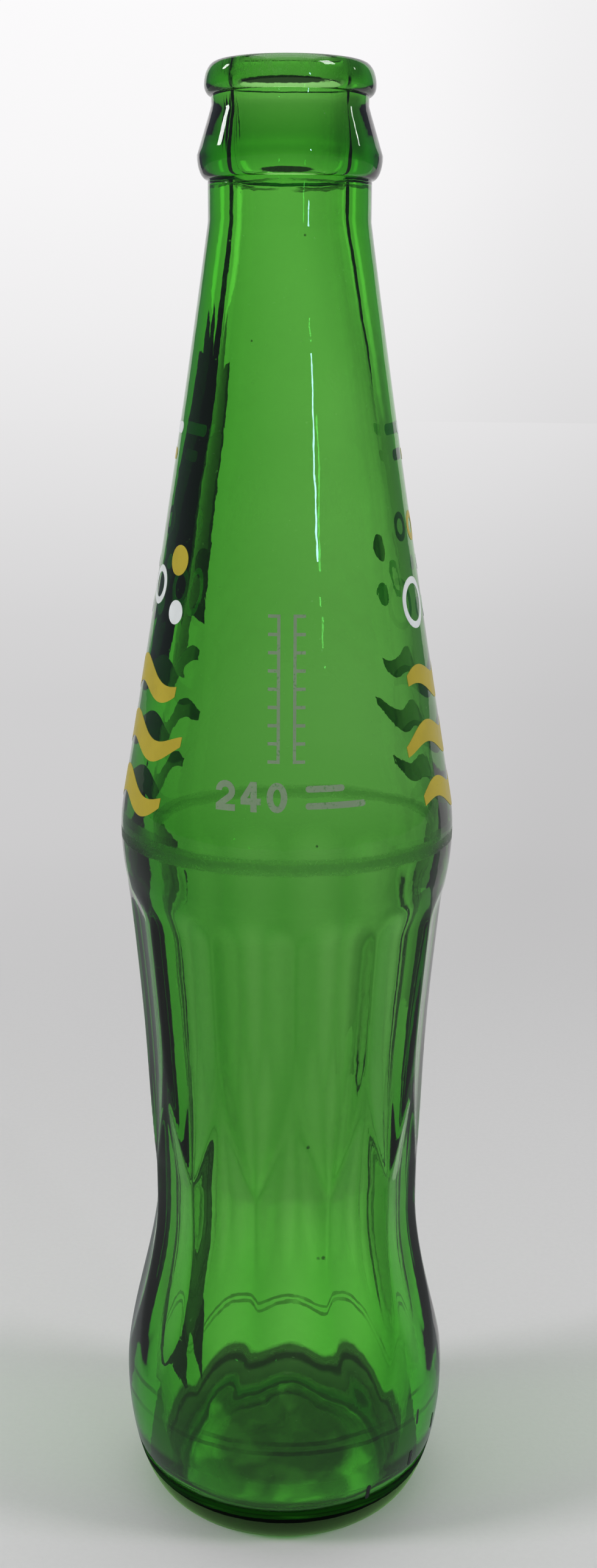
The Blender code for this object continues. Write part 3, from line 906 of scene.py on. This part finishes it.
def grimeMarks(tree, place, wobble):
    marks = []
    for *spot, size in wearAndShadeMarks["specks"]:
        frayed = calc(tree, "MULTIPLY", wobble, wearAndShadeMarks["speckWobble"])
        marks.append(roundMark(tree, place, spot, size, frayed, wearAndShadeMarks["speckSpan"]))
    sizes, share = wearAndShadeMarks["frayed"]
    for across, back, height, size, flatness in wearAndShadeMarks["streaks"]:
        squeezed = stretched(tree, place, (1.0, 1.0, flatness))
        frayed = wander(tree, place, sizes, size * share)
        marks.append(roundMark(tree, squeezed, (across, back, height * flatness), size, frayed,
                               wearAndShadeMarks["streakSpan"]))
    return marks


def makeGlassMaterial():
    material, tree = newMaterial("greenGlass")
    place = placeOn(tree)
    height = partOf(tree, place, "Z")
    radius = lengthOf(tree, stretched(tree, place, (1.0, 1.0, 0.0)))
    ragged = wander(tree, place, *wearAndShadeMarks["ragged"])
    wobble = wander(tree, place, *wearAndShadeMarks["wobble"])

    def broken(mark, name):
        return calc(tree, "MULTIPLY", mark, patches(tree, place, *wearPatches[name]))

    def brokenBand(name, edge):
        return broken(heightBand(tree, height, edge, name), name)

    scuff = brokenBand("shoulderScuff", ragged)
    parting = brokenBand("parting", wobble)
    lip = calc(tree, "MULTIPLY", ramp(tree, height, *wearAndShadeMarks["lipHeights"]),
               ramp(tree, radius, *wearAndShadeMarks["lipRadii"]))
    lip = broken(broken(lip, "lipGrains"), "lipPatches")
    pits = patches(tree, place, *wearPatches["pits"])
    foot = ramp(tree, height, *wearAndShadeMarks["footHeights"])
    worn = calc(tree, "MAXIMUM", scuff, pits, lip, foot, brokenBand("footEdge", 0.0))
    rough = ramp(tree, worn, 0.0, 1.0, *glassLook["polish"], smooth=False)

    shade = blendColor(tree, scuff, glassLook["color"], wearAndShadeMarks["color"])
    grime = calc(tree, "MULTIPLY", parting, wearAndShadeMarks["partingGrime"])
    grime = calc(tree, "MAXIMUM", grime, brokenBand("heelGrime", ragged))
    for mark in (grime, *grimeMarks(tree, place, wobble)):
        shade = blendColor(tree, mark, shade, wearAndShadeMarks["grimeColor"])
    # painted shade: a band of the lower heel is darkened for the dark ring that the curving glass
    # shows there
    paintedHeelShade = heightBand(tree, height, 0.0, "paintedHeelShade")
    shade = blendColor(tree, paintedHeelShade, shade, wearAndShadeMarks["paintedHeelShadeColor"])

    wavesNoise, wavesRise = glassLook["waves"]
    fineNoise, fineRise = glassLook["fine"]
    waves = noiseMap(tree, place, *wavesNoise)
    fine = noiseMap(tree, stretched(tree, place, glassLook["fineStretch"]), *fineNoise)
    rise = calc(tree, "ADD", calc(tree, "MULTIPLY", waves, wavesRise),
                calc(tree, "MULTIPLY", fine, fineRise))
    rise = calc(tree, "SUBTRACT", rise, calc(tree, "MULTIPLY", parting, wearAndShadeMarks["partingCut"]))
    glass = addNode(tree, "ShaderNodeBsdfPrincipled", {
        "Base Color": shade, "Roughness": rough, "IOR": glassLook["ior"],
        "Transmission Weight": 1.0, "Normal": addBump(tree, rise),
    })
    clear = addNode(tree, "ShaderNodeBsdfTransparent", {"Color": (*glassLook["shadowColor"], 1.0)})
    shadow = addNode(tree, "ShaderNodeLightPath").outputs["Is Shadow Ray"]
    inside = addNode(tree, "ShaderNodeVolumeAbsorption", {
        "Color": (*glassLook["tint"], 1.0), "Density": glassLook["density"],
    })
    output = finishMaterial(tree, mixShaders(tree, shadow, glass, clear))
    tree.links.new(inside.outputs[0], output.inputs["Volume"])
    return material


def makeGlass():
    body = linkShape("green_glass_body", makeGlassShape(), makeGlassMaterial())
    smoothShape(body, glassLook["sharpAngle"])
    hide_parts("glass_body")
    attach(body, "root")
    print("glass body has", len(body.data.polygons), "faces")


makeGlass()


# enamel prints

enamel = {
    "sunk": 0.00005,  # fired into the glass
    "proud": 0.00005,
    "cutPitch": 0.0010, "sharpAngle": 40.0, "ior": 1.5,
    "cloud": (260.0, 4.0, 0.6),  # scale, detail and roughness of the noise
    "cloudSpan": (0.30, 0.70),
    "cloudTone": 0.90,
    "grain": (2600.0, 2.0, 0.6),
    "grainBump": (0.5, 0.00003),  # strength and distance
    "mottle": (0.45, 0.55),  # shares of cloud and grain in where the print is thin
    "thinFade": 0.07,
    "scratches": (1800.0, 1.0, 0.4),
    "scratchStretch": (1.0, 1.0, 0.06),
    "scratchSpan": (0.70, 0.76),
    "roughStart": 0.2, "roughRise": 0.25,
}
printLooks = {  # slot, material, colour, colour where thin, share that is whole, polish
    "yellow": ("yellow_enamel", "yellowEnamel", (0.4, 0.315, 0.02), (0.3, 0.27, 0.02), 0.62, 0.32),
    "white": ("white_enamel", "whiteEnamel", (0.66, 0.69, 0.69), (0.40, 0.55, 0.40), 0.62, 0.32),
    "worn": ("worn_enamel", "wornEnamel", (0.20, 0.29, 0.17), (0.09, 0.23, 0.07), 0.55, 0.45),
    "ink": ("black_ink", "blackInk", (0.012, 0.013, 0.014), (0.03, 0.05, 0.03), 0.60, 0.40),
}
numerals = {
    "riseShare": 0.083, "start": -0.0112, "pitch": 0.0041,
    "height": 0.0046, "width": 0.0032, "stroke": 0.0010,
    "twoSweep": 1.25,  # half turns
    "twoSlant": 1.6,  # strokes
    "fourStem": 0.80,  # share of the width
    "fourBar": 0.24,  # share of the height
    "fourHole": (1.1, 1.7),  # strokes
    "barStart": 0.0030, "barLengths": (0.0062, 0.0098), "barSpacing": 0.0026,
}
scales = {
    "clearance": 0.0029, "heightShare": 0.233, "offset": 0.0010,
    "line": 0.0005, "tick": 0.0019, "ticks": 9,
}
sidePrint = {
    "azimuth": math.radians(90.0), "turn": math.radians(3.5), "spread": 0.0200,
    "waveRiseShare": 0.075, "waveSpacingShare": 0.095, "waveEndShare": 0.04,
    "waveThickness": 0.0046, "waveSwing": 0.0015, "wavePeriod": 0.0180,
    "waveLengths": (0.0360, 0.0400, 0.0330),
    "bubbleRiseShare": 0.385, "bubbleRadius": 0.0041, "bubbleWall": 0.0011,
    "bubbles": (  # kind, shares across, up and of the radius, hollow, finish
        ("ring_large", -0.49, 0.010, 1.00, True, "white"),
        ("ring_small", 0.26, 0.035, 0.76, True, "white"),
        ("disc_low", -0.11, -0.006, 0.42, False, "white"),
        ("disc_side", 0.63, -0.002, 0.46, False, "white"),
        ("disc_high", -0.08, 0.068, 0.30, False, "white"),
        ("disc_gold", 0.56, 0.081, 0.58, False, "yellow"),
        ("ring_gold", -0.25, 0.132, 0.58, True, "yellow"),
    ),
    "dashRiseShare": 0.675, "dashSpacingShare": 0.043, "dashWidth": 0.0018,
    "dashes": ((0.0092, "white"), (0.0056, "yellow")),
}
inkMarks = {
    "places": ((33.0, 0.0095), (54.0, 0.0120), (71.0, 0.0150)),  # azimuth and height
    "length": 0.0030, "width": 0.0008,
}


def makeEnamelMaterial(name, color, thinColor, whole, polish):
    material, tree = newMaterial(name)
    place = placeOn(tree)
    cloud = noiseMap(tree, place, *enamel["cloud"])
    grain = noiseMap(tree, place, *enamel["grain"])
    shade = blendColor(tree, ramp(tree, cloud, *enamel["cloudSpan"]),
                       [c * enamel["cloudTone"] for c in color], color)
    cloudShare, grainShare = enamel["mottle"]
    mottled = calc(tree, "ADD", calc(tree, "MULTIPLY", cloud, cloudShare),
                   calc(tree, "MULTIPLY", grain, grainShare))
    thin = ramp(tree, mottled, whole, whole + enamel["thinFade"])
    shade = blendColor(tree, thin, shade, thinColor)
    scratches = patches(tree, stretched(tree, place, enamel["scratchStretch"]),
                        enamel["scratches"], enamel["scratchSpan"])
    rough = ramp(tree, calc(tree, "MAXIMUM", scratches, cloud), enamel["roughStart"], 1.0,
                 polish, polish + enamel["roughRise"])
    finishMaterial(tree, addNode(tree, "ShaderNodeBsdfPrincipled", {
        "Base Color": shade, "Roughness": rough, "IOR": enamel["ior"],
        "Normal": addBump(tree, grain, *enamel["grainBump"]),
    }))
    return material


finishes = {key: (makeEnamelMaterial(*look), slot) for key, (slot, *look) in printLooks.items()}


def bendOnGlass(shape, azimuth, height, depthOf):
    for corner in shape.verts:
        rise = height + corner.co.z
        radius = outlineRadius(rise)
        turn = azimuth + corner.co.x / radius
        reach = radius + depthOf(corner.co.y)
        corner.co = (reach * math.sin(turn), -reach * math.cos(turn), rise)


def cutEvery(shape, pitch, axis):
    places = [corner.co[axis] for corner in shape.verts]
    cut = math.ceil(min(places) / pitch) * pitch
    way = Vector((0.0, 0.0, 0.0))
    way[axis] = 1.0
    while cut < max(places):
        parts = shape.verts[:] + shape.edges[:] + shape.faces[:]
        bmesh.ops.bisect_plane(shape, geom=parts, plane_co=way * cut, plane_no=way, dist=1e-7)
        cut += pitch


def printOnGlass(node, loops, azimuth, height, finish):
    shape = bmesh.new()
    edges = []
    for loop in loops:
        corners = [shape.verts.new((across, 0.0, rise)) for across, rise in loop]
        edges += [shape.edges.new(ends) for ends in zip(corners, corners[1:] + corners[:1])]
    bmesh.ops.triangle_fill(shape, use_beauty=True, edges=edges)
    for axis in (0, 2):
        cutEvery(shape, enamel["cutPitch"], axis)
    raised = bmesh.ops.extrude_face_region(shape, geom=shape.faces[:], use_keep_orig=True)
    for part in raised["geom"]:
        if isinstance(part, bmesh.types.BMVert):
            part.co.y = 1.0
    bendOnGlass(shape, azimuth, height,
                lambda layer: enamel["proud"] if layer > 0.5 else -enamel["sunk"])
    bmesh.ops.recalc_face_normals(shape, faces=shape.faces)
    material, slot = finishes[finish]
    item = linkShape("print_" + node, shape, material)
    smoothShape(item, enamel["sharpAngle"])
    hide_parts(node)
    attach(item, "root")


def discLoop(radius, sides=40):
    turns = [2 * math.pi * side / sides for side in range(sides)]
    return [(radius * math.cos(turn), radius * math.sin(turn)) for turn in turns]


def barLoop(length, width, middle=0.0, steps=8):
    roundEnd = width / 2
    straight = length / 2 - roundEnd
    loop = []
    for end in (1, -1):
        for step in range(steps + 1):
            turn = math.pi * (step / steps - 0.5)
            across = end * (straight + roundEnd * math.cos(turn))
            loop.append((middle + across, end * roundEnd * math.sin(turn)))
    return loop


def waveLoop(length, steps=60):
    upper, lower = [], []
    endShare = sidePrint["waveEndShare"]
    for step in range(steps + 1):
        share = step / steps
        across = length * (share - 0.5)
        swing = sidePrint["waveSwing"] * math.sin(2 * math.pi * across / sidePrint["wavePeriod"])
        along = endShare + (1 - 2 * endShare) * share
        half = sidePrint["waveThickness"] / 2 * math.sqrt(math.sin(math.pi * along))
        upper.append((across, swing + half))
        lower.append((across, swing - half))
    return upper + lower[::-1]


def numeralTwo(steps=16):
    width, height, stroke = numerals["width"], numerals["height"], numerals["stroke"]
    bow = width / 2
    outer, inner = [], []
    for step in range(steps + 1):
        turn = math.pi * (1 - numerals["twoSweep"] * step / steps)
        for loop, radius in ((outer, bow), (inner, bow - stroke)):
            loop.append((bow + radius * math.cos(turn), height - bow + radius * math.sin(turn)))
    foot = [(stroke * numerals["twoSlant"], stroke), (width, stroke), (width, 0.0), (0.0, 0.0),
            (0.0, stroke)]
    return [outer + foot + inner[::-1]]


def numeralFour():
    width, height, stroke = numerals["width"], numerals["height"], numerals["stroke"]
    stem, bar = width * numerals["fourStem"], height * numerals["fourBar"]
    top = bar + stroke
    outer = [
        (stem - stroke, 0.0), (stem, 0.0), (stem, bar), (width, bar), (width, top), (stem, top),
        (stem, height), (stem - stroke, height), (0.0, top), (0.0, bar), (stem - stroke, bar),
    ]
    left, high = (share * stroke for share in numerals["fourHole"])
    hole = [(left, top), (stem - stroke, top), (stem - stroke, height - high)]
    return [outer, hole]


def numeralZero():
    width, height = numerals["width"] / 2, numerals["height"] / 2
    return [[(width + (width - inset) * across, height + (height - inset) * rise)
             for across, rise in discLoop(1.0)] for inset in (0.0, numerals["stroke"])]


def scaleLoop(side):
    height, line, tick = coneHeight * scales["heightShare"], scales["line"], scales["tick"]
    loop = [(0.0, 0.0), (0.0, height), (side * tick, height)]
    pitch = (height - line) / (scales["ticks"] - 1)
    for place in range(scales["ticks"] - 1, -1, -1):
        low = pitch * place
        loop.append((side * tick, low))
        if place:
            foot = low - pitch + line
            loop += [(side * line, low), (side * line, foot), (side * tick, foot)]
    return loop


def makeFrontPrints():
    height = bottle["shoulderHeight"] + coneHeight * numerals["riseShare"]
    shapes = (("numeral_two", numeralTwo), ("numeral_four", numeralFour),
              ("numeral_zero", numeralZero))
    for place, (node, outline) in enumerate(shapes):
        start = numerals["start"] + numerals["pitch"] * place
        loops = [[(across + start, rise) for across, rise in loop] for loop in outline()]
        printOnGlass(node, loops, 0.0, height, "worn")
    middle = height + numerals["height"] / 2
    bars = (("level_bar_upper", 1), ("level_bar_lower", -1))
    for (node, side), length in zip(bars, numerals["barLengths"]):
        loop = barLoop(length, numerals["stroke"], numerals["barStart"] + length / 2)
        printOnGlass(node, [loop], 0.0, middle + side * numerals["barSpacing"] / 2, "worn")
    height += numerals["height"] + scales["clearance"]
    for node, side in (("scale_left", -1), ("scale_right", 1)):
        loop = [(across + side * scales["offset"], rise) for across, rise in scaleLoop(side)]
        printOnGlass(node, [loop], 0.0, height, "worn")


def makeSidePrint(sideName, side):
    azimuth = side * sidePrint["azimuth"] + sidePrint["turn"]
    base = bottle["shoulderHeight"]
    for place, length in enumerate(sidePrint["waveLengths"]):
        rise = coneHeight * (sidePrint["waveRiseShare"] + sidePrint["waveSpacingShare"] * place)
        printOnGlass(f"wave_{place + 1}_{sideName}", [waveLoop(length)], azimuth, base + rise,
                     "yellow")
    for kind, acrossShare, riseShare, radiusShare, hollow, finish in sidePrint["bubbles"]:
        height = base + coneHeight * (sidePrint["bubbleRiseShare"] + riseShare)
        radius = sidePrint["bubbleRadius"] * radiusShare
        loops = [discLoop(radius)]
        if hollow:
            loops.append(discLoop(radius - sidePrint["bubbleWall"]))
        turn = azimuth + sidePrint["spread"] * acrossShare / outlineRadius(height)
        printOnGlass(f"{kind}_{sideName}", loops, turn, height, finish)
    for place, (length, finish) in enumerate(sidePrint["dashes"]):
        rise = coneHeight * (sidePrint["dashRiseShare"] - sidePrint["dashSpacingShare"] * place)
        printOnGlass(f"dash_{place + 1}_{sideName}", [barLoop(length, sidePrint["dashWidth"])],
                     azimuth, base + rise, finish)


def makeInkMarks():
    for place, (azimuth, height) in enumerate(inkMarks["places"]):
        loop = [(rise, across) for across, rise in barLoop(inkMarks["length"], inkMarks["width"])]
        printOnGlass(f"ink_dash_{place + 1}", [loop], math.radians(azimuth), height, "ink")


makeFrontPrints()
makeSidePrint("left", -1)
makeSidePrint("right", 1)
makeInkMarks()
print("prints laid on the glass")

bpy.context.scene.view_settings.view_transform = "Standard"
